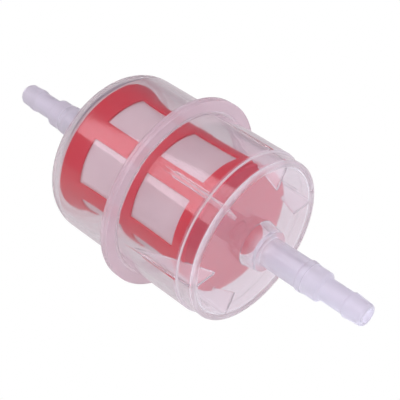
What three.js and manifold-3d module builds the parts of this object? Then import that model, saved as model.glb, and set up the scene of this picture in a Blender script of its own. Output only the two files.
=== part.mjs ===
// In-line fuel filter, millimetres. +X runs along the filter towards the outlet, +Z is up, and the origin is
// on the axis at the joint between the two halves of the housing.
import * as THREE from "three";
import { mergeVertices } from "three/addons/utils/BufferGeometryUtils.js";
import Module from "manifold-3d";

const wasm = await Module();
wasm.setup();

// Housing
const FLANGE_RADIUS = 27.5;
const FLANGE_FACE_X = 1.15; // outer face of each half of the weld flange
const FLANGE_EDGE = 0.35; // chamfer on the flange's rim
const WELD_GAP = 0.3; // between the two halves of the flange
const BODY_RADIUS = 23.7;
const BODY_BORE_RADIUS = 22.15;
const END_WALL = 1.6;
const INLET_END_X = 28.2;
const INLET_CORNER_RADIUS = 6.2;
const INLET_INNER_CORNER_RADIUS = 4.8;
const OUTLET_END_X = 27.5;
const OUTLET_STEP_X = 22;
const OUTLET_CAP_RADIUS = 23.1;
const OUTLET_CAP_BORE_RADIUS = 21.6;
const OUTLET_INNER_STEP = [20.8, 21.4]; // where the bore narrows to the cap's, just inside the outside step
const OUTLET_CORNER_RADIUS = 1;
const OUTLET_INNER_CORNER_RADIUS = 0.8;

// Hose stem, the same at both ends
const HUB_ROOT_RADIUS = 6.5;
const HUB_FACE_RADIUS = 5.8;
const HUB_FACE_X = 31.9;
const HUB_EDGE = 0.4; // chamfer on the hub's face
const HUB_BORE_RADIUS = 4.6; // hollow inside the hub, which drafts to its end
const HUB_BORE_END_RADIUS = 4;
const HUB_BORE_END_X = 30.2;
const STEM_BORE_RADIUS = 2;
const LARGE_STEM_RADIUS = 4.1; // takes an 8 mm hose
const LARGE_BARB_RADIUS = 4.4;
const LARGE_BARB_X = 43.6;
const STEM_STEP_X = 49.7;
const STEM_STEP_EDGE = 0.4; // chamfer on the shoulder between the two shanks
const SMALL_STEM_RADIUS = 3.1; // takes a 6 mm hose
const SMALL_BARB_RADIUS = 3.42;
const SMALL_BARB_X = 57.4;
const BARB_RISE = 0.5; // length of a barb's steep side, which holds the hose
const BARB_LAND = 0.8; // flat crest
const LARGE_BARB_LEAD = 1.6; // slope down to the shoulder
const SMALL_BARB_LEAD = 1.8; // slope down to the lead-in
const LEAD_IN_RADIUS = 3.17; // the small shank just past its barb
const TIP_RADIUS = 2.7;
const TIP_X = 62.8;
const TIP_TAPER = 0.7;

// Fins inside the outlet half, which centre the cage
const FIN_COUNT = 6;
const FIN_THICKNESS = 1;
const FIN_START_X = 6;
const FIN_END_RADIUS = 14.9;
const FIN_ROOT_DEPTH = 0.4; // how far a fin is sunk into the walls that it grows from

// Ring on the inlet half's end wall, which the cage fits over
const SEAT_RADIUS = 17.4;
const SEAT_THICKNESS = 1.3;
const SEAT_HEIGHT = 2.4;
const SEAT_EDGE = 0.4;

// Cage, waisted in the middle
const CAGE_INLET_X = -26.3;
const CAGE_OUTLET_X = 18.4;
const CAGE_RIM_RADIUS = 19.6;
const CAGE_RIM_X = -25.3;
const CAGE_FOOT_STEP = 0.7; // how far the rim's foot is set in from its outside
const CAGE_WAIST_RADIUS = 17.5;
const CAGE_OUTLET_RADIUS = 18;
const CAGE_INLET_FLARE = 6; // powers by which the wall widens: close to the rim on the inlet side,
const CAGE_OUTLET_FLARE = 2; // evenly on the outlet side
const CAGE_WALL = 1.4;
const CAGE_STEPS = 6; // straight stretches along each half of the waisted wall

// Windows of the cage, in two rows
const WINDOW_ROWS = { inlet: [-19.5, -4.2], outlet: [-0.3, 15] };
const WINDOWS_PER_ROW = 6;
const WINDOW_WIDTH = 12.8;
const WINDOW_CUT_DEPTH = 8; // deep enough to pass through the wall from rim to waist
const SCREEN_THICKNESS = 0.4;

// End disc that closes the cage
const DISC_THICKNESS = 1.2;
const DISC_PLUG_RADIUS = 15.9;
const DISC_PLUG_X = 16.4;
const DISC_DISH_RADIUS = 13.5;
const DISC_DISH_DRAFT = 0.6;
const DISC_EDGE = 0.3;
const DISC_BOSS_RADIUS = 3;
const DISC_BOSS_HEIGHT = 0.5;

const CLEARANCE = 0.3; // between pieces that touch
const SEGMENTS = 48;
const CORNER_STEPS = 5;
const MERGE_DISTANCE = 1e-4;

const clearNylon = new THREE.MeshStandardMaterial({
  color: 0xe6dbe6,
  roughness: 0.12,
  metalness: 0,
  transparent: true,
  opacity: 0.35,
});
const redNylon = new THREE.MeshStandardMaterial({ color: 0xc4364c, roughness: 0.4, metalness: 0 });
const meshFabric = new THREE.MeshStandardMaterial({ color: 0xd8c2ca, roughness: 0.8, metalness: 0 });

// ---- solids ----

function toSolid(geometry) {
  geometry.deleteAttribute("normal");
  geometry.deleteAttribute("uv");
  const merged = mergeVertices(geometry, MERGE_DISTANCE);
  const corners = merged.index.array;
  const kept = [];
  for (let i = 0; i < corners.length; i += 3) {
    const [a, b, c] = [corners[i], corners[i + 1], corners[i + 2]];
    if (a !== b && b !== c && c !== a) kept.push(a, b, c);
  }
  const shape = { numProp: 3, vertProperties: merged.attributes.position.array, triVerts: Uint32Array.from(kept) };
  return new wasm.Manifold(new wasm.Mesh(shape));
}

function toMesh(name, solid, material) {
  const { vertProperties, triVerts } = solid.getMesh();
  const geometry = new THREE.BufferGeometry();
  geometry.setAttribute("position", new THREE.BufferAttribute(vertProperties, 3));
  geometry.setIndex(new THREE.BufferAttribute(triVerts, 1));
  geometry.computeVertexNormals();
  const mesh = new THREE.Mesh(geometry, material);
  mesh.name = name;
  return mesh;
}

// A ring or shell turned about the X axis. The outline is a closed loop of [x, radius] points in either direction.
function turned(outline) {
  let area = 0;
  outline.forEach(([x, r], i) => {
    const [nextX, nextR] = outline[(i + 1) % outline.length];
    area += x * nextR - nextX * r;
  });
  const loop = area < 0 ? [...outline] : [...outline].reverse();
  const closed = loop[0][1] > 0 || loop.at(-1)[1] > 0 ? [...loop, loop[0]] : loop;
  const points = closed.map(([x, r]) => new THREE.Vector2(r, x));
  return toSolid(new THREE.LatheGeometry(points, SEGMENTS).rotateZ(-Math.PI / 2));
}

// Points of a quarter round about [x, radius], from one angle to the other, in degrees from +X towards outwards.
function arc(x, radius, size, from, to) {
  const points = [];
  for (let i = 0; i <= CORNER_STEPS; i++) {
    const angle = THREE.MathUtils.degToRad(from + ((to - from) * i) / CORNER_STEPS);
    points.push([x + size * Math.cos(angle), radius + size * Math.sin(angle)]);
  }
  return points;
}

function mirrored(outline) {
  return outline.map(([x, r]) => [-x, r]);
}

// A plate lying in a plane through the axis, with its outline in [x, radius] points, turned to its place about X.
function radialPlate(outline, thickness, angle) {
  const shape = new THREE.Shape(outline.map(([x, r]) => new THREE.Vector2(x, r)));
  const plate = new THREE.ExtrudeGeometry(shape, { depth: thickness, bevelEnabled: false });
  plate.translate(0, 0, -thickness / 2);
  return toSolid(plate.rotateX(angle));
}

function aroundAxis(count, offset, make) {
  return Array.from({ length: count }, (_, i) => make(((i + offset) * 2 * Math.PI) / count, i));
}

// ---- housing ----

// Outside of a hose stem from the hub's root at an end wall to the mouth of its bore, for the outlet side.
function stemOutline(endX) {
  return [
    [endX, HUB_ROOT_RADIUS],
    [HUB_FACE_X - HUB_EDGE, HUB_FACE_RADIUS],
    [HUB_FACE_X, HUB_FACE_RADIUS - HUB_EDGE],
    [HUB_FACE_X, LARGE_STEM_RADIUS],
    [LARGE_BARB_X - BARB_RISE, LARGE_STEM_RADIUS],
    [LARGE_BARB_X, LARGE_BARB_RADIUS],
    [LARGE_BARB_X + BARB_LAND, LARGE_BARB_RADIUS],
    [LARGE_BARB_X + BARB_LAND + LARGE_BARB_LEAD, LARGE_STEM_RADIUS],
    [STEM_STEP_X - STEM_STEP_EDGE, LARGE_STEM_RADIUS],
    [STEM_STEP_X, LARGE_STEM_RADIUS - STEM_STEP_EDGE],
    [STEM_STEP_X + STEM_STEP_EDGE, SMALL_STEM_RADIUS],
    [SMALL_BARB_X - BARB_RISE, SMALL_STEM_RADIUS],
    [SMALL_BARB_X, SMALL_BARB_RADIUS],
    [SMALL_BARB_X + BARB_LAND, SMALL_BARB_RADIUS],
    [SMALL_BARB_X + BARB_LAND + SMALL_BARB_LEAD, LEAD_IN_RADIUS],
    [TIP_X - TIP_TAPER, SMALL_STEM_RADIUS],
    [TIP_X, TIP_RADIUS],
    [TIP_X, STEM_BORE_RADIUS],
  ];
}

// The way back in from the stem's bore through the hub's hollow to the inner face of an end wall.
function hubBore(innerX) {
  return [
    [HUB_BORE_END_X, STEM_BORE_RADIUS],
    [HUB_BORE_END_X, HUB_BORE_END_RADIUS],
    [innerX, HUB_BORE_RADIUS],
  ];
}

function flangeOutline() {
  return [
    [WELD_GAP / 2, BODY_BORE_RADIUS],
    [WELD_GAP / 2, FLANGE_RADIUS],
    [FLANGE_FACE_X - FLANGE_EDGE, FLANGE_RADIUS],
    [FLANGE_FACE_X, FLANGE_RADIUS - FLANGE_EDGE],
    [FLANGE_FACE_X, BODY_RADIUS],
  ];
}

function inletShell() {
  const corner = INLET_CORNER_RADIUS;
  const innerCorner = INLET_INNER_CORNER_RADIUS;
  const innerX = INLET_END_X - END_WALL;
  const seatBore = SEAT_RADIUS - SEAT_THICKNESS;
  const outline = [
    ...flangeOutline(),
    ...arc(INLET_END_X - corner, BODY_RADIUS - corner, corner, 90, 0),
    ...stemOutline(INLET_END_X),
    ...hubBore(innerX),
    [innerX, seatBore],
    [innerX - SEAT_HEIGHT, seatBore],
    [innerX - SEAT_HEIGHT, SEAT_RADIUS - SEAT_EDGE],
    [innerX - SEAT_HEIGHT + SEAT_EDGE, SEAT_RADIUS],
    ...arc(innerX - innerCorner, BODY_BORE_RADIUS - innerCorner, innerCorner, 0, 90),
  ];
  return turned(mirrored(outline));
}

function finOutline(inset) {
  const slope = (BODY_BORE_RADIUS - FIN_END_RADIUS) / (OUTLET_END_X - END_WALL - FIN_START_X);
  const outerRadius = OUTLET_CAP_BORE_RADIUS + FIN_ROOT_DEPTH;
  const outerX = OUTLET_END_X - END_WALL + FIN_ROOT_DEPTH;
  const freeEdge = (x) => BODY_BORE_RADIUS - inset - slope * (x - FIN_START_X);
  const startX = FIN_START_X + (BODY_BORE_RADIUS - inset - outerRadius) / slope;
  return [
    [startX, outerRadius],
    [outerX, outerRadius],
    [outerX, freeEdge(outerX)],
  ];
}

// The fins themselves, or with a clearance the slots that they need in the cage and the end disc.
function fins(clearance) {
  const outline = finOutline(clearance);
  const thickness = FIN_THICKNESS + 2 * clearance;
  return aroundAxis(FIN_COUNT, 0, (angle) => radialPlate(outline, thickness, angle));
}

function outletShell() {
  const corner = OUTLET_CORNER_RADIUS;
  const innerCorner = OUTLET_INNER_CORNER_RADIUS;
  const innerX = OUTLET_END_X - END_WALL;
  const [innerStepStart, innerStepEnd] = OUTLET_INNER_STEP;
  const outline = [
    ...flangeOutline(),
    [OUTLET_STEP_X, BODY_RADIUS],
    [OUTLET_STEP_X, OUTLET_CAP_RADIUS],
    ...arc(OUTLET_END_X - corner, OUTLET_CAP_RADIUS - corner, corner, 90, 0),
    ...stemOutline(OUTLET_END_X),
    ...hubBore(innerX),
    ...arc(innerX - innerCorner, OUTLET_CAP_BORE_RADIUS - innerCorner, innerCorner, 0, 90),
    [innerStepEnd, OUTLET_CAP_BORE_RADIUS],
    [innerStepStart, BODY_BORE_RADIUS],
  ];
  return fins(0).reduce((shell, fin) => shell.add(fin), turned(outline));
}

// ---- cage ----

// Outer radius of the cage: waisted in the middle, wider towards both ends.
function cageRadius(x) {
  const end = x < 0 ? CAGE_RIM_X : CAGE_OUTLET_X;
  const endRadius = x < 0 ? CAGE_RIM_RADIUS : CAGE_OUTLET_RADIUS;
  const flare = x < 0 ? CAGE_INLET_FLARE : CAGE_OUTLET_FLARE;
  return CAGE_WAIST_RADIUS + (endRadius - CAGE_WAIST_RADIUS) * (x / end) ** flare;
}

function cageStations(fromX, toX) {
  const stations = [];
  for (let i = 0; i <= 2 * CAGE_STEPS; i++) stations.push(fromX + ((toX - fromX) * i) / (2 * CAGE_STEPS));
  return stations;
}

function windowCutters(rowName, inset) {
  const [fromX, toX] = WINDOW_ROWS[rowName];
  return aroundAxis(WINDOWS_PER_ROW, 0.5, (angle) => {
    const length = toX - fromX - 2 * inset;
    const cutter = new THREE.BoxGeometry(length, WINDOW_CUT_DEPTH, WINDOW_WIDTH - 2 * inset);
    cutter.translate((fromX + toX) / 2, CAGE_WAIST_RADIUS, 0);
    return toSolid(cutter.rotateX(angle));
  });
}

function cageFrame() {
  const stations = cageStations(CAGE_RIM_X, CAGE_OUTLET_X);
  const footRadius = CAGE_RIM_RADIUS - CAGE_FOOT_STEP;
  const footBore = CAGE_RIM_RADIUS - CAGE_WALL;
  const outline = [
    [CAGE_INLET_X, footBore],
    [CAGE_INLET_X, footRadius],
    ...stations.map((x) => [x, cageRadius(x)]),
    ...stations.map((x) => [x, cageRadius(x) - CAGE_WALL]).reverse(),
  ];
  const cutters = [...windowCutters("inlet", 0), ...windowCutters("outlet", 0), ...fins(CLEARANCE)];
  return cutters.reduce((frame, cutter) => frame.subtract(cutter), turned(outline));
}

// A band of mesh at the middle of the cage's wall, cut to one panel for each window of a row.
function screenPanels(rowName) {
  const [fromX, toX] = WINDOW_ROWS[rowName];
  const stations = [fromX, (fromX + toX) / 2, toX];
  const outside = (x) => cageRadius(x) - (CAGE_WALL - SCREEN_THICKNESS) / 2;
  const band = turned([
    ...stations.map((x) => [x, outside(x)]),
    ...stations.map((x) => [x, outside(x) - SCREEN_THICKNESS]).reverse(),
  ]);
  return windowCutters(rowName, CLEARANCE).map((cutter) => band.intersect(cutter));
}

function endDisc() {
  const backX = CAGE_OUTLET_X + CLEARANCE;
  const frontX = backX + DISC_THICKNESS;
  const outline = [
    [DISC_PLUG_X + DISC_THICKNESS, 0],
    [DISC_PLUG_X + DISC_THICKNESS, DISC_DISH_RADIUS],
    [DISC_PLUG_X, DISC_DISH_RADIUS + DISC_DISH_DRAFT],
    [DISC_PLUG_X, DISC_PLUG_RADIUS],
    [backX, DISC_PLUG_RADIUS],
    [backX, CAGE_OUTLET_RADIUS],
    [frontX - DISC_EDGE, CAGE_OUTLET_RADIUS],
    [frontX, CAGE_OUTLET_RADIUS - DISC_EDGE],
    [frontX, DISC_BOSS_RADIUS],
    [frontX + DISC_BOSS_HEIGHT, DISC_BOSS_RADIUS - DISC_EDGE],
    [frontX + DISC_BOSS_HEIGHT, 0],
  ];
  return fins(CLEARANCE).reduce((disc, slot) => disc.subtract(slot), turned(outline));
}

// ---- the filter ----

const filter = new THREE.Group();
filter.add(toMesh("inlet_housing", inletShell(), clearNylon));
filter.add(toMesh("outlet_housing", outletShell(), clearNylon));
filter.add(toMesh("cage_frame", cageFrame(), redNylon));
filter.add(toMesh("cage_end_disc", endDisc(), redNylon));
for (const rowName of Object.keys(WINDOW_ROWS)) {
  screenPanels(rowName).forEach((panel, i) => {
    filter.add(toMesh(`screen_${rowName}_${i + 1}`, panel, meshFabric));
  });
}

export default filter;
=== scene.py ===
import math

import bmesh
import bpy
from mathutils import Matrix, Vector


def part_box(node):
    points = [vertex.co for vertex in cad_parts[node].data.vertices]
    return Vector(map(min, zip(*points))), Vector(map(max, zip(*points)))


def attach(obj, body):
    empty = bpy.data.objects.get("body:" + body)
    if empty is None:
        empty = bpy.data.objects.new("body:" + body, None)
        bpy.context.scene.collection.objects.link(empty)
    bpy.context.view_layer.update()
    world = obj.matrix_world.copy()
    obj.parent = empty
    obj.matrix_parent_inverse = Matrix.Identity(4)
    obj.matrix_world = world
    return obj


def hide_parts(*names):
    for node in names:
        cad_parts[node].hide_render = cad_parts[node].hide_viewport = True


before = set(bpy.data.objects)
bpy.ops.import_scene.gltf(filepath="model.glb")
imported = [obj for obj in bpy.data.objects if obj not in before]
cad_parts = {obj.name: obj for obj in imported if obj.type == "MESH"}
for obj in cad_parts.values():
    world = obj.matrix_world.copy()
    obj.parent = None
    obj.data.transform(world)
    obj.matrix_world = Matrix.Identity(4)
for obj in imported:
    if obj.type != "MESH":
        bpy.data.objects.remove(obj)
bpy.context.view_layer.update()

MM = 0.001

# Sizes that the frame gives, in millimetres along X or out from the axis.
HOUSING_BOX = {name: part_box(f"{name}_housing") for name in ("inlet", "outlet")}
TIP_X = HOUSING_BOX["outlet"][1][0] / MM
FLANGE_RADIUS = HOUSING_BOX["outlet"][1][2] / MM
CAGE_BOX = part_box("cage_frame")
CAGE_RIM_RADIUS = CAGE_BOX[1][2] / MM
CAGE_INLET_X = CAGE_BOX[0][0] / MM
CAGE_OUTLET_X = CAGE_BOX[1][0] / MM
DISC_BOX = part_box("cage_end_disc")
DISC_BACK_X = DISC_BOX[0][0] / MM
DISC_FRONT_X = DISC_BOX[1][0] / MM

# Housing, as in the CAD model.
FLANGE_FACE_X = 1.15
WELD_OVERLAP = 0.02
BODY_RADIUS = 23.7
BODY_BORE_RADIUS = 22.15
END_WALL = 1.6
INLET_END_X = 28.2
INLET_CORNER = 6.2
INLET_INNER_CORNER = 4.8
OUTLET_END_X = 27.5
OUTLET_STEP_X = 22.0
OUTLET_STEP_SLANT = 0.1
OUTLET_INNER_STEP = (20.8, 21.4)
OUTLET_CAP_RADIUS = 23.1
OUTLET_CAP_BORE_RADIUS = 21.6
OUTLET_CORNER = 1.0
OUTLET_INNER_CORNER = 0.8
HUB_ROOT_RADIUS = 6.5
HUB_FACE_RADIUS = 5.8
HUB_FACE_X = 31.9
STEM_BORE_RADIUS = 2.0
HUB_BORE_RADIUS = 4.6
HUB_BORE_END_RADIUS = 4.0
HUB_BORE_END_X = 30.2
LARGE_STEM_RADIUS = 4.1
LARGE_BARB_RADIUS = 4.4
LARGE_BARB_X = 43.6
STEM_STEP_X = 49.7
STEM_STEP_LEAD = 0.4
STEM_STEP_DROP = 0.5
STEM_STEP_SLANT = 0.1
STEM_STEP_FOOT = 0.3
SMALL_STEM_RADIUS = 3.1
SMALL_BARB_RADIUS = 3.42
SMALL_BARB_X = 57.4
BARB_RISE = 0.5
BARB_LAND = 0.8
LARGE_BARB_END = 2.4
SMALL_BARB_END = 2.6
LEAD_IN_GROWTH = 0.07
TIP_TAPER = 0.7
TIP_RADIUS = 2.7
SEAT_RADIUS = 17.4
SEAT_THICKNESS = 1.3
SEAT_HEIGHT = 2.4
FINS = 6
FIN_THICKNESS = 1.0
FIN_START_X = 6.0
FIN_END_RADIUS = 14.9
FIN_ROOT_DEPTH = 0.4
FIN_CLEARANCE = 0.3
FIN_FILLET = 0.4
FIN_EDGE = 0.25
FIN_FOOT_START_X = 9.5
FIN_FOOT_DEPTH = 0.5

# Cage. A flare is the power of the distance from the middle by which that side widens.
CAGE_RIM_X = -25.3
CAGE_WAIST_RADIUS = 17.5
CAGE_OUTLET_RADIUS = 18.0
CAGE_INLET_FLARE = 6
CAGE_OUTLET_FLARE = 2
CAGE_WALL = 1.4
CAGE_FOOT_STEP = 0.7
CAGE_EDGE = 0.2
CAGE_EDGE_ANGLE = 40
WINDOW_ROWS = {"inlet": (-19.5, -4.2), "outlet": (-0.3, 15.0)}
WINDOWS_PER_ROW = 6
DISC_PLUG_RADIUS = 15.9
DISC_DISH_RADIUS = 13.5
DISC_THICKNESS = 1.2
DISC_BOSS_RADIUS = 3.0
DISC_BOSS_HEIGHT = 0.5
DISC_BOSS_DRAFT = 0.3
DISC_DISH_DRAFT = 0.6

# Mesh panels, each tucked into the frame all round and held at a share of the wall's depth.
THREADS_PER_METRE = 3300
SCREEN_TUCK = 0.5
SCREEN_THICKNESS = 0.2
SCREEN_BULGE = 0.12
SCREEN_DEPTH = 0.45

# Fineness of the visual meshes, in steps, cells, millimetres and degrees.
ROUND_STEPS = 180
CELLS_PER_WINDOW_PITCH = 24
CELLS_PER_WINDOW = 17
SOFT_EDGE = 0.22
SOFT_TURN = 20
SOFT_SHARE = 0.45
SHORTEST_SIDE = 0.02
SHARP_ANGLE = 35
ARC_STEPS = 12
TIGHT_ARC_STEPS = 8
CAGE_LONGEST_STEP = 1.3
SCREEN_STEPS = 24
TINY = 1e-6

# View and light, with lengths in metres. Soft boxes lie in these directions from the object.
AZIMUTH = 44.15
ELEVATION = 42.37
CAMERA_DISTANCE = 0.2959
AIM_RIGHT = 0.0053
AIM_DOWN = 0.0019
LENS = 100.1
SENSOR = 36.0
WHITE = (1, 1, 1)
ROOM_DARK = (0.22, 0.18, 0.22)
ROOM_BRIGHT = (0.75, 0.68, 0.75)
ROOM_CHANGE = (-0.2, 0.6)
# Painted shadow and light in the floor's glow as the object sees it: shaded under the object, lit beyond its
# outlet, fading far off.
FLOOR_SHADED = (0.66, 0.605, 0.64)
FLOOR_LIT = (1.05, 1.04, 1.16)
FLOOR_SHADE_END = 0.010
FLOOR_LIT_START = 0.050
FLOOR_NEAR = 0.10
FLOOR_FAR = 0.30
FLOOR_FAR_SHARE = 0.8
FLOOR_Z = -0.0278
FLOOR_REACH = 3.0
SOFT_BOX_DISTANCE = 2.5
SOFT_BOX_FACING = (-0.45, -0.38, 0.80)
SOFT_BOX_TINT = (1.0, 0.88, 0.97)
SOFT_BOX_CORNERS = [(-0.68, -0.53, 0.57), (-0.43, -0.76, 0.55), (-0.44, 0.15, 0.90)]
SOFT_BOX_STRENGTH = 2.6
REFLECTOR_CORNERS = [
    (-0.43, -0.76, 0.55),
    (0.10, -0.95, 0.60),
    (0.50, -0.40, 1.0),
    (0.10, 0.30, 1.1),
    (-0.44, 0.15, 0.90),
]
REFLECTOR_STRENGTH = 1.5
CLEAR_BOUNCES = 24
HAZE_BOUNCES = 4
MESH_BOUNCES = 32

# Clear nylon: the share of light that a region turns milky, and where each region starts and is full.
END_INNER_X = OUTLET_END_X - END_WALL
CORNER_SUM = OUTLET_END_X + OUTLET_CAP_RADIUS - 2 * OUTLET_CORNER
CLARITY = 0.996
MILK = {"stem": 0.42, "flange": 0.38, "fin": 0.26, "end": 0.04, "step": 0.42}
STEM_MILK_X = (HUB_FACE_X - 4, HUB_FACE_X + 2)
FLANGE_MILK_RADII = (BODY_RADIUS, BODY_RADIUS + 1)
FIN_MILK_RADII = (BODY_BORE_RADIUS - 1, BODY_BORE_RADIUS - 0.7)
FIN_MILK_X = (END_INNER_X - 0.5, END_INNER_X - 0.2)
END_MILK_X = (END_INNER_X - 0.2, END_INNER_X)
# The milky line along the outside step is partly scuffing and partly a painted highlight.
STEP_SCUFF_AND_HIGHLIGHT_REACH = (0.12, 0.26)
STEP_SCUFF_AND_HIGHLIGHT_RADII = (OUTLET_CAP_RADIUS - 0.5, OUTLET_CAP_RADIUS - 0.3)
SCUFF_SUMS = (CORNER_SUM + 0.6, CORNER_SUM + 1.0)
SCUFF = 0.35
WALL_TINT = (0.975, 0.95, 0.965)
STEM_TINT = (0.83, 0.84, 0.89)
# The flange's pink is painted light: the red that its frosted weld scatters from the cage.
FLANGE_PAINTED_RED_LIGHT = (0.96, 0.88, 0.90)
SHADOW_TINT = (0.95, 0.93, 0.94)
HAZE_TINT = (0.93, 0.85, 0.92)
HAZE_DENSITY = 50

# Red nylon and the woven mesh: two near colours of each, mixed by noise.
CAGE_REDS = [(0.76, 0.009, 0.030), (0.66, 0.007, 0.024)]
DISC_REDS = [(0.70, 0.014, 0.052), (0.62, 0.012, 0.044)]
WOVEN_WHITES = [(0.97, 0.86, 0.86), (0.91, 0.80, 0.81)]


# ---- view and light ----


def view_axes():
    a, e = math.radians(AZIMUTH), math.radians(ELEVATION)
    back = Vector((math.sin(a) * math.cos(e), -math.cos(a) * math.cos(e), math.sin(e)))
    right = Vector((math.cos(a), math.sin(a), 0))
    return right, back.cross(right), back


def make_camera():
    right, up, back = view_axes()
    data = bpy.data.cameras.new("camera")
    data.lens = LENS
    data.sensor_width = SENSOR
    data.clip_start = 0.01
    data.clip_end = 20
    camera = bpy.data.objects.new("camera", data)
    aim = right * AIM_RIGHT - up * AIM_DOWN
    camera.location = aim + back * CAMERA_DISTANCE
    camera.rotation_mode = "QUATERNION"
    camera.rotation_quaternion = back.to_track_quat("Z", "Y")
    bpy.context.collection.objects.link(camera)
    bpy.context.scene.camera = camera


def lit_for_camera(tree, seen, felt, output):
    """Sends one shader to the camera and another to everything else, so that the ground stays white."""
    rays = tree.nodes.new("ShaderNodeLightPath")
    mix = tree.nodes.new("ShaderNodeMixShader")
    tree.links.new(rays.outputs["Is Camera Ray"], mix.inputs["Fac"])
    tree.links.new(felt, mix.inputs[1])
    tree.links.new(seen, mix.inputs[2])
    tree.links.new(mix.outputs["Shader"], output)


def make_world():
    world = bpy.data.worlds.new("studio")
    world.use_nodes = True
    tree = world.node_tree
    room = tree.nodes["Background"]
    towards = spread(tree, coordinate(tree, "Generated", "X"), 0, 1, *ROOM_CHANGE)
    tree.links.new(blend_colours(tree, towards, ROOM_DARK, ROOM_BRIGHT), room.inputs["Color"])
    seen = add(tree, "ShaderNodeBackground", Color=(*WHITE, 1))
    output = tree.nodes["World Output"].inputs["Surface"]
    lit_for_camera(tree, seen.outputs["Background"], room.outputs["Background"], output)
    bpy.context.scene.world = world


def stage_sheet(name, corners, material):
    mesh = bpy.data.meshes.new(name)
    mesh.from_pydata(corners, [], [tuple(range(len(corners)))])
    mesh.materials.append(material)
    sheet = bpy.data.objects.new(name, mesh)
    bpy.context.collection.objects.link(sheet)
    return sheet


def make_floor():
    """Paper that the object sees lit beyond its outlet and shaded behind it, both painted into its glow, and
    that the camera sees white.
    """
    material, tree, shader = new_material("floor_paper")
    tree.nodes.remove(shader)
    # Painted shadow: the glow is darker under the object and brighter beyond its outlet.
    lit = spread(tree, coordinate(tree, "Object", "X"), 0, 1, FLOOR_SHADE_END, FLOOR_LIT_START)
    glow = add(tree, "ShaderNodeEmission")
    tree.links.new(blend_colours(tree, lit, FLOOR_SHADED, FLOOR_LIT), glow.inputs["Color"])
    coords = tree.nodes.new("ShaderNodeTexCoord")
    away = add(tree, "ShaderNodeVectorMath", operation="LENGTH")
    tree.links.new(coords.outputs["Object"], away.inputs[0])
    # Painted light: the glow fades to a share of its strength far from the object.
    falloff = spread(tree, away.outputs["Value"], 1, FLOOR_FAR_SHARE, FLOOR_NEAR, FLOOR_FAR)
    tree.links.new(falloff, glow.inputs["Strength"])
    seen = add(tree, "ShaderNodeEmission", Color=(*WHITE, 1))
    output = tree.nodes["Material Output"].inputs["Surface"]
    lit_for_camera(tree, seen.outputs["Emission"], glow.outputs["Emission"], output)
    corners = [(x * FLOOR_REACH, y * FLOOR_REACH, FLOOR_Z) for x, y in ((-1, -1), (1, -1), (1, 1), (-1, 1))]
    stage_sheet("floor", corners, material)


def make_soft_box(name, directions, strength):
    """A glowing sheet that covers the given directions as the object sees them."""
    material, tree, shader = new_material(f"{name}_cloth")
    tree.nodes.remove(shader)
    glow = add(tree, "ShaderNodeEmission", Strength=strength, Color=(*SOFT_BOX_TINT, 1))
    hidden = add(tree, "ShaderNodeBsdfTransparent")
    output = tree.nodes["Material Output"].inputs["Surface"]
    lit_for_camera(tree, hidden.outputs["BSDF"], glow.outputs["Emission"], output)
    facing = Vector(SOFT_BOX_FACING).normalized()
    corners = [Vector(c) * (SOFT_BOX_DISTANCE / Vector(c).dot(facing)) for c in directions]
    stage_sheet(name, corners, material)


def make_studio():
    make_world()
    make_floor()
    make_soft_box("soft_box", SOFT_BOX_CORNERS, SOFT_BOX_STRENGTH)
    make_soft_box("reflector", REFLECTOR_CORNERS, REFLECTOR_STRENGTH)


# ---- materials ----


def new_material(name):
    material = bpy.data.materials.new(name)
    material.use_nodes = True
    tree = material.node_tree
    return material, tree, tree.nodes["Principled BSDF"]


def add(tree, kind, **values):
    node = tree.nodes.new(kind)
    for key, value in values.items():
        if key in node.inputs:
            node.inputs[key].default_value = value
        else:
            setattr(node, key, value)
    return node


def noise(tree, scale, detail=3.0, stretch=(1, 1, 1)):
    coords = tree.nodes.new("ShaderNodeTexCoord")
    mapping = add(tree, "ShaderNodeMapping")
    mapping.inputs["Scale"].default_value = stretch
    tree.links.new(coords.outputs["Object"], mapping.inputs["Vector"])
    texture = add(tree, "ShaderNodeTexNoise", Scale=scale, Detail=detail)
    tree.links.new(mapping.outputs["Vector"], texture.inputs["Vector"])
    return texture.outputs["Fac"]


def spread(tree, source, low, high, start=0.3, end=0.7):
    ramp = tree.nodes.new("ShaderNodeMapRange")
    ramp.inputs["From Min"].default_value = start
    ramp.inputs["From Max"].default_value = end
    ramp.inputs["To Min"].default_value = low
    ramp.inputs["To Max"].default_value = high
    tree.links.new(source, ramp.inputs["Value"])
    return ramp.outputs["Result"]


def blend_colours(tree, share, first, second):
    mix = tree.nodes.new("ShaderNodeMix")
    mix.data_type = "RGBA"
    mix.inputs["A"].default_value = (*first, 1)
    mix.inputs["B"].default_value = (*second, 1)
    tree.links.new(share, mix.inputs["Factor"])
    return mix.outputs["Result"]


def bump(tree, shader, height, strength, distance):
    node = add(tree, "ShaderNodeBump", Strength=strength, Distance=distance)
    tree.links.new(height, node.inputs["Height"])
    tree.links.new(node.outputs["Normal"], shader.inputs["Normal"])


def coordinate(tree, space, axis):
    coords = tree.nodes.new("ShaderNodeTexCoord")
    parts = tree.nodes.new("ShaderNodeSeparateXYZ")
    tree.links.new(coords.outputs[space], parts.inputs["Vector"])
    return parts.outputs[axis]


def arithmetic(tree, operation, *values):
    node = tree.nodes.new("ShaderNodeMath")
    node.operation = operation
    for socket, value in zip(node.inputs, values):
        if isinstance(value, (int, float)):
            socket.default_value = value
        else:
            tree.links.new(value, socket)
    return node.outputs["Value"]


def distance_out(tree):
    """How far a point is from the axis."""
    y, z = coordinate(tree, "Object", "Y"), coordinate(tree, "Object", "Z")
    squares = [arithmetic(tree, "MULTIPLY", side, side) for side in (y, z)]
    return arithmetic(tree, "SQRT", arithmetic(tree, "ADD", *squares))


def rising(tree, distance, start, end):
    """0 up to the start and 1 from the end on, both in millimetres."""
    return spread(tree, distance, 0, 1, start * MM, end * MM)


def falling(tree, distance, start, end):
    return spread(tree, distance, 1, 0, start * MM, end * MM)


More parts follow.
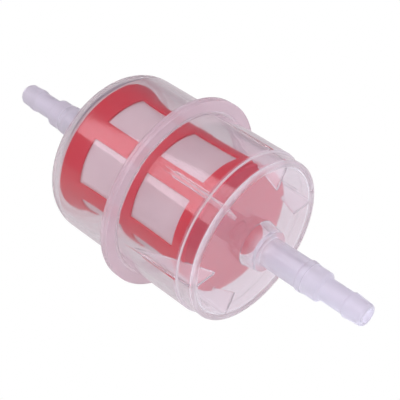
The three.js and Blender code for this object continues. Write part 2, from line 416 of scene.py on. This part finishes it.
def nylon_regions(tree):
    """Masks of the regions of the housing that aren't as clear and smooth as its walls."""
    x = coordinate(tree, "Object", "X")
    along = arithmetic(tree, "ABSOLUTE", x)
    out = distance_out(tree)
    within = falling(tree, out, *FIN_MILK_RADII)
    before_end = falling(tree, along, *FIN_MILK_X)
    # The step's milky band is partly scuffing and partly a painted highlight along the step's edge.
    past_step = arithmetic(tree, "SUBTRACT", x, (OUTLET_STEP_X + OUTLET_STEP_SLANT) * MM)
    near_step = falling(tree, arithmetic(tree, "ABSOLUTE", past_step), *STEP_SCUFF_AND_HIGHLIGHT_REACH)
    outside = rising(tree, out, *STEP_SCUFF_AND_HIGHLIGHT_RADII)
    return {
        "stem": rising(tree, along, *STEM_MILK_X),
        "flange": rising(tree, out, *FLANGE_MILK_RADII),
        "fin": arithmetic(tree, "MULTIPLY", within, before_end),
        "end": rising(tree, along, *END_MILK_X),
        "step": arithmetic(tree, "MULTIPLY", near_step, outside),
        "corner": rising(tree, arithmetic(tree, "ADD", along, out), *SCUFF_SUMS),
    }


def tint_nylon(tree, shader, regions):
    tint = blend_colours(tree, regions["stem"], WALL_TINT, STEM_TINT)
    # Painted light: a pink tint on the flange for the red light that it scatters from the cage.
    flange_red_light = blend_colours(tree, regions["flange"], WHITE, FLANGE_PAINTED_RED_LIGHT)
    mixed = add(tree, "ShaderNodeMix", data_type="RGBA", blend_type="MULTIPLY")
    mixed.inputs["Factor"].default_value = 1
    tree.links.new(tint, mixed.inputs["A"])
    tree.links.new(flange_red_light, mixed.inputs["B"])
    tree.links.new(mixed.outputs["Result"], shader.inputs["Base Color"])


def clear_nylon():
    """Clear in the walls, milky in the stems, the flange and the fins, and along the outside step, where the
    milky line is partly scuffing and partly a painted highlight; the flange's pink tint is painted red light
    from the cage.
    """
    material, tree, shader = new_material("clear_nylon")
    shader.inputs["IOR"].default_value = 1.5
    regions = nylon_regions(tree)
    tint_nylon(tree, shader, regions)
    clarity = CLARITY
    for region, share in MILK.items():
        milk = arithmetic(tree, "MULTIPLY", regions[region], share)
        clarity = arithmetic(tree, "SUBTRACT", clarity, milk)
    tree.links.new(clarity, shader.inputs["Transmission Weight"])
    gloss = spread(tree, noise(tree, scale=240), low=0.03, high=0.10)
    scuff = arithmetic(tree, "MULTIPLY", regions["corner"], SCUFF)
    tree.links.new(arithmetic(tree, "ADD", gloss, scuff), shader.inputs["Roughness"])
    ripples = noise(tree, scale=90, detail=2.0, stretch=(0.35, 1, 1))
    bump(tree, shader, ripples, strength=0.12, distance=0.0002)
    rays = tree.nodes.new("ShaderNodeLightPath")
    passing = add(tree, "ShaderNodeBsdfTransparent", Color=(*SHADOW_TINT, 1))
    mix = tree.nodes.new("ShaderNodeMixShader")
    output = tree.nodes["Material Output"]
    tree.links.new(rays.outputs["Is Shadow Ray"], mix.inputs["Fac"])
    tree.links.new(shader.outputs["BSDF"], mix.inputs[1])
    tree.links.new(passing.outputs["BSDF"], mix.inputs[2])
    tree.links.new(mix.outputs["Shader"], output.inputs["Surface"])
    haze = add(tree, "ShaderNodeVolumeScatter", Color=(*HAZE_TINT, 1), Density=HAZE_DENSITY, Anisotropy=0.4)
    tree.links.new(haze.outputs["Volume"], output.inputs["Volume"])
    return material


def red_nylon(name, light, dark):
    material, tree, shader = new_material(name)
    colour = blend_colours(tree, noise(tree, scale=70), light, dark)
    tree.links.new(colour, shader.inputs["Base Color"])
    satin = spread(tree, noise(tree, scale=350), low=0.42, high=0.56)
    tree.links.new(satin, shader.inputs["Roughness"])
    shader.inputs["Specular IOR Level"].default_value = 0.35
    shader.inputs["Subsurface Weight"].default_value = 0.15
    shader.inputs["Subsurface Radius"].default_value = (0.002, 0.0004, 0.0004)
    bump(tree, shader, noise(tree, scale=900, detail=4.0), strength=0.15, distance=0.0001)
    return material


def woven_nylon():
    material, tree, shader = new_material("woven_nylon")
    coords = tree.nodes.new("ShaderNodeUVMap")
    coords.uv_map = "weave"
    threads = []
    for direction in ("X", "Y"):
        wave = add(tree, "ShaderNodeTexWave", bands_direction=direction)
        wave.inputs["Scale"].default_value = THREADS_PER_METRE * math.pi / 10
        tree.links.new(coords.outputs["UV"], wave.inputs["Vector"])
        threads.append(wave.outputs["Fac"])
    weave = arithmetic(tree, "MAXIMUM", *threads)
    patches = spread(tree, noise(tree, scale=120), low=0, high=1)
    colour = blend_colours(tree, patches, *WOVEN_WHITES)
    tree.links.new(colour, shader.inputs["Base Color"])
    shader.inputs["Roughness"].default_value = 0.7
    shader.inputs["Sheen Weight"].default_value = 0.2
    cover = spread(tree, weave, low=0.30, high=0.72, start=0.2, end=0.8)
    tree.links.new(cover, shader.inputs["Alpha"])
    bump(tree, shader, weave, strength=0.5, distance=0.00008)
    return material


# ---- meshes ----


def soften(outline, size=SOFT_EDGE, steps=3):
    """The closed outline with each corner rounded, less where its sides are short."""
    points = []
    count = len(outline)
    for i, corner in enumerate(outline):
        here = Vector(corner)
        before = Vector(outline[i - 1]) - here
        after = Vector(outline[(i + 1) % count]) - here
        turn = math.pi - before.angle(after)
        if turn < math.radians(SOFT_TURN):
            points.append(here)
            continue
        cut = min(size * math.tan(turn / 2), before.length * SOFT_SHARE, after.length * SOFT_SHARE)
        start = here + before.normalized() * cut
        end = here + after.normalized() * cut
        for j in range(steps + 1):
            t = j / steps
            points.append(start * (1 - t) ** 2 + here * 2 * t * (1 - t) + end * t**2)
    return [(p.x, p.y) for p in points]


def arc(x, radius, size, start, end, steps=ARC_STEPS):
    """Points of a round about (x, radius), between two angles in degrees from +X towards outwards."""
    points = []
    for i in range(steps + 1):
        angle = math.radians(start + (end - start) * i / steps)
        points.append((x + size * math.cos(angle), radius + size * math.sin(angle)))
    return points


def round_axis(x, radius, angle):
    """The point at a place along the axis, a distance from it and an angle about it, in metres."""
    return (x * MM, radius * MM * math.cos(angle), radius * MM * math.sin(angle))


def turned(outline, steps=ROUND_STEPS):
    """A closed mesh turned about X from a closed outline of (x, radius) points in millimetres."""
    mesh = bmesh.new()
    rings = []
    for x, radius in outline:
        if radius < TINY:
            rings.append([mesh.verts.new((x * MM, 0, 0))] * steps)
            continue
        ring = []
        for i in range(steps):
            angle = 2 * math.pi * i / steps
            ring.append(mesh.verts.new(round_axis(x, radius, angle)))
        rings.append(ring)
    for k, ring in enumerate(rings):
        following = rings[(k + 1) % len(rings)]
        for i in range(steps):
            j = (i + 1) % steps
            corners = [ring[i], ring[j], following[j], following[i]]
            unique = list(dict.fromkeys(corners))
            if len(unique) > 2:
                mesh.faces.new(unique)
    bmesh.ops.recalc_face_normals(mesh, faces=mesh.faces)
    return mesh


def radial_plate(outline, thickness, angle, edge):
    """A flat plate in a plane through the axis, from (x, radius) points, turned to its place about X."""
    mesh = bmesh.new()
    sides = []
    for offset in (-thickness / 2, thickness / 2):
        sides.append([mesh.verts.new((x * MM, radius * MM, offset * MM)) for x, radius in outline])
    mesh.faces.new(sides[0])
    mesh.faces.new(list(reversed(sides[1])))
    count = len(outline)
    for i in range(count):
        j = (i + 1) % count
        mesh.faces.new([sides[0][i], sides[1][i], sides[1][j], sides[0][j]])
    bmesh.ops.recalc_face_normals(mesh, faces=mesh.faces)
    bmesh.ops.bevel(mesh, geom=mesh.edges[:], offset=edge * MM, segments=3, affect="EDGES", profile=0.5)
    bmesh.ops.rotate(mesh, verts=mesh.verts, cent=(0, 0, 0), matrix=Matrix.Rotation(angle, 3, "X"))
    return mesh


def is_sharp(edge):
    return len(edge.link_faces) == 2 and edge.calc_face_angle(0) > math.radians(SHARP_ANGLE)


def to_object(name, mesh, material=None):
    data = bpy.data.meshes.new(name)
    for face in mesh.faces:
        face.smooth = True
    for edge in mesh.edges:
        edge.smooth = not is_sharp(edge)
    mesh.to_mesh(data)
    mesh.free()
    if material:
        data.materials.append(material)
    piece = bpy.data.objects.new(name, data)
    bpy.context.collection.objects.link(piece)
    return piece


def combine(piece, cutters, operation):
    """Joins or cuts the piece with each cutter, and takes the cutters away."""
    for cutter in cutters:
        modifier = piece.modifiers.new("boolean", "BOOLEAN")
        modifier.object = cutter
        modifier.operation = operation
        modifier.solver = "EXACT"
    bpy.context.view_layer.update()
    evaluated = piece.evaluated_get(bpy.context.evaluated_depsgraph_get())
    result = bpy.data.meshes.new_from_object(evaluated)
    piece.modifiers.clear()
    piece.data = result
    for cutter in cutters:
        bpy.data.objects.remove(cutter)
    smooth_by_angle(piece)


def smooth_by_angle(piece):
    mesh = bmesh.new()
    mesh.from_mesh(piece.data)
    bmesh.ops.dissolve_degenerate(mesh, edges=mesh.edges, dist=1e-7)
    for face in mesh.faces:
        face.smooth = True
    for edge in mesh.edges:
        edge.smooth = not is_sharp(edge)
    mesh.to_mesh(piece.data)
    mesh.free()


def keep_flats_flat(piece):
    """Shades each large face by its own normal, so that only the rounded edges beside it turn the light."""
    modifier = piece.modifiers.new("normals", "WEIGHTED_NORMAL")
    modifier.mode = "FACE_AREA"
    modifier.weight = 50
    modifier.keep_sharp = True


def place(piece, slot, *nodes):
    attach(piece, "root")
    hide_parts(*nodes)


# ---- housing ----


def flange_outline():
    return [
        (-WELD_OVERLAP, BODY_BORE_RADIUS),
        (-WELD_OVERLAP, FLANGE_RADIUS),
        (FLANGE_FACE_X, FLANGE_RADIUS),
        (FLANGE_FACE_X, BODY_RADIUS),
    ]


def stem_outline(end_x):
    return [
        (end_x, HUB_ROOT_RADIUS),
        (HUB_FACE_X, HUB_FACE_RADIUS),
        (HUB_FACE_X, LARGE_STEM_RADIUS),
        (LARGE_BARB_X - BARB_RISE, LARGE_STEM_RADIUS),
        (LARGE_BARB_X, LARGE_BARB_RADIUS),
        (LARGE_BARB_X + BARB_LAND, LARGE_BARB_RADIUS),
        (LARGE_BARB_X + LARGE_BARB_END, LARGE_STEM_RADIUS),
        (STEM_STEP_X - STEM_STEP_LEAD, LARGE_STEM_RADIUS),
        (STEM_STEP_X + STEM_STEP_SLANT, LARGE_STEM_RADIUS - STEM_STEP_DROP),
        (STEM_STEP_X + STEM_STEP_FOOT, SMALL_STEM_RADIUS),
        (SMALL_BARB_X - BARB_RISE, SMALL_STEM_RADIUS),
        (SMALL_BARB_X, SMALL_BARB_RADIUS),
        (SMALL_BARB_X + BARB_LAND, SMALL_BARB_RADIUS),
        (SMALL_BARB_X + SMALL_BARB_END, SMALL_STEM_RADIUS + LEAD_IN_GROWTH),
        (TIP_X - TIP_TAPER, SMALL_STEM_RADIUS),
        (TIP_X, TIP_RADIUS),
        (TIP_X, STEM_BORE_RADIUS),
    ]


def hub_bore(inner_x):
    """The hollow inside the hub, from the stem's bore to the end wall's inner face."""
    return [
        (HUB_BORE_END_X, STEM_BORE_RADIUS),
        (HUB_BORE_END_X, HUB_BORE_END_RADIUS),
        (inner_x, HUB_BORE_RADIUS),
    ]


def inlet_outline():
    inner_x = INLET_END_X - END_WALL
    seat_bore = SEAT_RADIUS - SEAT_THICKNESS
    inner_corner_radius = BODY_BORE_RADIUS - INLET_INNER_CORNER
    outline = [
        *flange_outline(),
        *arc(INLET_END_X - INLET_CORNER, BODY_RADIUS - INLET_CORNER, INLET_CORNER, 90, 0),
        *stem_outline(INLET_END_X),
        *hub_bore(inner_x),
        (inner_x, seat_bore),
        (inner_x - SEAT_HEIGHT, seat_bore),
        (inner_x - SEAT_HEIGHT, SEAT_RADIUS),
        (inner_x, SEAT_RADIUS),
        *arc(inner_x - INLET_INNER_CORNER, inner_corner_radius, INLET_INNER_CORNER, 0, 90),
    ]
    outline = [p for i, p in enumerate(outline) if math.dist(p, outline[i - 1]) > SHORTEST_SIDE]
    return [(-x, radius) for x, radius in soften(outline)]


def outlet_outline():
    corner_radius = OUTLET_CAP_RADIUS - OUTLET_CORNER
    inner_corner_x = END_INNER_X - OUTLET_INNER_CORNER
    inner_corner_radius = OUTLET_CAP_BORE_RADIUS - OUTLET_INNER_CORNER
    outline = [
        *flange_outline(),
        (OUTLET_STEP_X, BODY_RADIUS),
        (OUTLET_STEP_X + OUTLET_STEP_SLANT, OUTLET_CAP_RADIUS),
        *arc(OUTLET_END_X - OUTLET_CORNER, corner_radius, OUTLET_CORNER, 90, 0, TIGHT_ARC_STEPS),
        *stem_outline(OUTLET_END_X),
        *hub_bore(END_INNER_X),
        *arc(inner_corner_x, inner_corner_radius, OUTLET_INNER_CORNER, 0, 90, TIGHT_ARC_STEPS),
        (OUTLET_INNER_STEP[1], OUTLET_CAP_BORE_RADIUS),
        (OUTLET_INNER_STEP[0], BODY_BORE_RADIUS),
    ]
    return soften(outline)


def fin_outline(inset):
    slope = (BODY_BORE_RADIUS - FIN_END_RADIUS) / (END_INNER_X - FIN_START_X)
    outer_radius = BODY_BORE_RADIUS + FIN_ROOT_DEPTH
    outer_x = END_INNER_X + FIN_ROOT_DEPTH
    start_x = FIN_START_X - (FIN_ROOT_DEPTH + inset) / slope
    end_radius = BODY_BORE_RADIUS - inset - slope * (outer_x - FIN_START_X)
    return [(start_x, outer_radius), (outer_x, outer_radius), (outer_x, end_radius)]


def fin_solids(clearance):
    outline = fin_outline(clearance)
    thickness = FIN_THICKNESS + 2 * clearance
    plates = []
    for i in range(FINS):
        plate = radial_plate(outline, thickness, 2 * math.pi * i / FINS, FIN_EDGE)
        plates.append(to_object(f"fin_{i}", plate))
    return plates


def fin_roots():
    """A strip along the foot of each fin, whose bevelled edges are the fin's fillets on the wall."""
    outer_radius = BODY_BORE_RADIUS + FIN_FOOT_DEPTH
    inner_radius = BODY_BORE_RADIUS - FIN_FILLET
    outline = [
        (FIN_FOOT_START_X, outer_radius),
        (OUTLET_STEP_X, outer_radius),
        (OUTLET_STEP_X, inner_radius),
        (FIN_FOOT_START_X, inner_radius),
    ]
    strips = []
    for i in range(FINS):
        plate = radial_plate(outline, FIN_THICKNESS + 2 * FIN_FILLET, 2 * math.pi * i / FINS, FIN_FILLET)
        strips.append(to_object(f"fin_root_{i}", plate))
    return strips


def make_housing():
    clear = clear_nylon()
    inlet = to_object("inlet_housing_shell", turned(inlet_outline()), clear)
    keep_flats_flat(inlet)
    place(inlet, "clear_housing", "inlet_housing")
    outlet = to_object("outlet_housing_shell", turned(outlet_outline()), clear)
    combine(outlet, fin_solids(0) + fin_roots(), "UNION")
    keep_flats_flat(outlet)
    place(outlet, "clear_housing", "outlet_housing")


# ---- cage ----


def cage_radius(x):
    end = CAGE_RIM_X if x < 0 else CAGE_OUTLET_X
    end_radius = CAGE_RIM_RADIUS if x < 0 else CAGE_OUTLET_RADIUS
    flare = CAGE_INLET_FLARE if x < 0 else CAGE_OUTLET_FLARE
    return CAGE_WAIST_RADIUS + (end_radius - CAGE_WAIST_RADIUS) * (x / end) ** flare


def steps_between(start, end, longest):
    count = max(1, math.ceil((end - start) / longest))
    return [start + (end - start) * i / count for i in range(count)]


def cage_stations():
    """Places along X of the cage's rings of vertices, with one on each edge of each window row."""
    marks = [CAGE_RIM_X, *WINDOW_ROWS["inlet"], *WINDOW_ROWS["outlet"], CAGE_OUTLET_X]
    stations = []
    for start, end in zip(marks, marks[1:]):
        stations += steps_between(start, end, CAGE_LONGEST_STEP)
    return [*stations, CAGE_OUTLET_X]


def in_window(x, cell):
    if cell % CELLS_PER_WINDOW_PITCH >= CELLS_PER_WINDOW:
        return False
    return any(start < x < end for start, end in WINDOW_ROWS.values())


def make_cage_frame(material):
    stations = cage_stations()
    cells = CELLS_PER_WINDOW_PITCH * WINDOWS_PER_ROW
    pitch = 2 * math.pi / cells
    first = math.pi / WINDOWS_PER_ROW - CELLS_PER_WINDOW / 2 * pitch
    mesh = bmesh.new()
    foot = [(CAGE_INLET_X, CAGE_RIM_RADIUS - CAGE_WALL), (CAGE_INLET_X, CAGE_RIM_RADIUS - CAGE_FOOT_STEP)]
    outside = [*foot, *[(x, cage_radius(x)) for x in stations]]
    inside = [(x, cage_radius(x) - CAGE_WALL) for x in reversed(stations)]
    rings = []
    for x, radius in [*outside, *inside]:
        ring = []
        for i in range(cells):
            angle = first + i * pitch
            ring.append(mesh.verts.new(round_axis(x, radius, angle)))
        rings.append((x, ring))
    last_outside = len(outside) - 1
    for k, (x, ring) in enumerate(rings):
        next_x, following = rings[(k + 1) % len(rings)]
        wall = abs(next_x - x) > TINY and x >= CAGE_RIM_X and next_x >= CAGE_RIM_X
        for i in range(cells):
            if wall and in_window((x + next_x) / 2, i):
                continue
            j = (i + 1) % cells
            mesh.faces.new([ring[i], ring[j], following[j], following[i]])
    station_count = len(stations)
    first_outside = len(foot)
    for edge_index in range(station_count):
        outer = rings[first_outside + edge_index][1]
        inner = rings[last_outside + 1 + station_count - 1 - edge_index][1]
        x = stations[edge_index]
        for i in range(cells):
            j = (i + 1) % cells
            row_edge = any(abs(x - end) < TINY for row in WINDOW_ROWS.values() for end in row)
            if row_edge and i % CELLS_PER_WINDOW_PITCH < CELLS_PER_WINDOW:
                mesh.faces.new([outer[i], outer[j], inner[j], inner[i]])
            if edge_index + 1 < station_count:
                middle = (x + stations[edge_index + 1]) / 2
                if in_window(middle, i) != in_window(middle, (i - 1) % cells):
                    next_outer = rings[first_outside + edge_index + 1][1]
                    next_inner = rings[last_outside + 1 + station_count - 2 - edge_index][1]
                    mesh.faces.new([outer[i], next_outer[i], next_inner[i], inner[i]])
    bmesh.ops.recalc_face_normals(mesh, faces=mesh.faces)
    cage = to_object("cage_frame_moulding", mesh, material)
    edge = cage.modifiers.new("edge", "BEVEL")
    edge.width = CAGE_EDGE * MM
    edge.segments = 3
    edge.limit_method = "ANGLE"
    edge.angle_limit = math.radians(CAGE_EDGE_ANGLE)
    combine(cage, fin_solids(FIN_CLEARANCE), "DIFFERENCE")
    keep_flats_flat(cage)
    place(cage, "cage_red", "cage_frame")


def make_end_disc(material):
    plate_front = DISC_FRONT_X - DISC_BOSS_HEIGHT
    plate_back = plate_front - DISC_THICKNESS
    outline = [
        (DISC_BACK_X + DISC_THICKNESS, 0),
        (DISC_BACK_X + DISC_THICKNESS, DISC_DISH_RADIUS),
        (DISC_BACK_X, DISC_DISH_RADIUS + DISC_DISH_DRAFT),
        (DISC_BACK_X, DISC_PLUG_RADIUS),
        (plate_back, DISC_PLUG_RADIUS),
        (plate_back, CAGE_OUTLET_RADIUS),
        (plate_front, CAGE_OUTLET_RADIUS),
        (plate_front, DISC_BOSS_RADIUS),
        (DISC_FRONT_X, DISC_BOSS_RADIUS - DISC_BOSS_DRAFT),
        (DISC_FRONT_X, 0),
    ]
    disc = to_object("cage_end_disc_plate", turned(soften(outline)), material)
    combine(disc, fin_solids(FIN_CLEARANCE), "DIFFERENCE")
    keep_flats_flat(disc)
    place(disc, "cage_red", "cage_end_disc")


def make_screen(row, index, material):
    """The stretch of woven mesh in one window, with its edges held in the frame's wall."""
    start, end = WINDOW_ROWS[row]
    pitch = 2 * math.pi / WINDOWS_PER_ROW
    middle = pitch * (index + 0.5)
    half = pitch * CELLS_PER_WINDOW / CELLS_PER_WINDOW_PITCH / 2 + SCREEN_TUCK / CAGE_WAIST_RADIUS
    mesh = bmesh.new()
    weave = mesh.loops.layers.uv.new("weave")
    grid = []
    for i in range(SCREEN_STEPS + 1):
        x = start - SCREEN_TUCK + (end - start + 2 * SCREEN_TUCK) * i / SCREEN_STEPS
        line = []
        for j in range(SCREEN_STEPS + 1):
            angle = middle - half + 2 * half * j / SCREEN_STEPS
            swell = math.sin(math.pi * i / SCREEN_STEPS) * math.sin(math.pi * j / SCREEN_STEPS)
            radius = cage_radius(x) - CAGE_WALL * SCREEN_DEPTH + SCREEN_BULGE * swell
            vertex = mesh.verts.new(round_axis(x, radius, angle))
            line.append((vertex, (x * MM, angle * CAGE_WAIST_RADIUS * MM)))
        grid.append(line)
    for line, next_line in zip(grid, grid[1:]):
        for j in range(SCREEN_STEPS):
            corners = [line[j], next_line[j], next_line[j + 1], line[j + 1]]
            face = mesh.faces.new([vertex for vertex, _ in corners])
            for loop, (_, place_in_weave) in zip(face.loops, corners):
                loop[weave].uv = place_in_weave
    bmesh.ops.recalc_face_normals(mesh, faces=mesh.faces)
    screen = to_object(f"mesh_{row}_{index + 1}", mesh, material)
    thickness = screen.modifiers.new("thickness", "SOLIDIFY")
    thickness.thickness = SCREEN_THICKNESS * MM
    thickness.offset = 0
    place(screen, "screen_mesh", f"screen_{row}_{index + 1}")


def make_cage():
    make_cage_frame(red_nylon("red_nylon", *CAGE_REDS))
    make_end_disc(red_nylon("red_nylon_disc", *DISC_REDS))
    woven = woven_nylon()
    for row in WINDOW_ROWS:
        for index in range(WINDOWS_PER_ROW):
            make_screen(row, index, woven)


make_camera()
make_studio()
make_housing()
make_cage()

scene = bpy.context.scene
scene.view_settings.view_transform = "Standard"
scene.cycles.max_bounces = CLEAR_BOUNCES
scene.cycles.glossy_bounces = CLEAR_BOUNCES
scene.cycles.volume_bounces = HAZE_BOUNCES
scene.cycles.transmission_bounces = CLEAR_BOUNCES
scene.cycles.transparent_max_bounces = MESH_BOUNCES
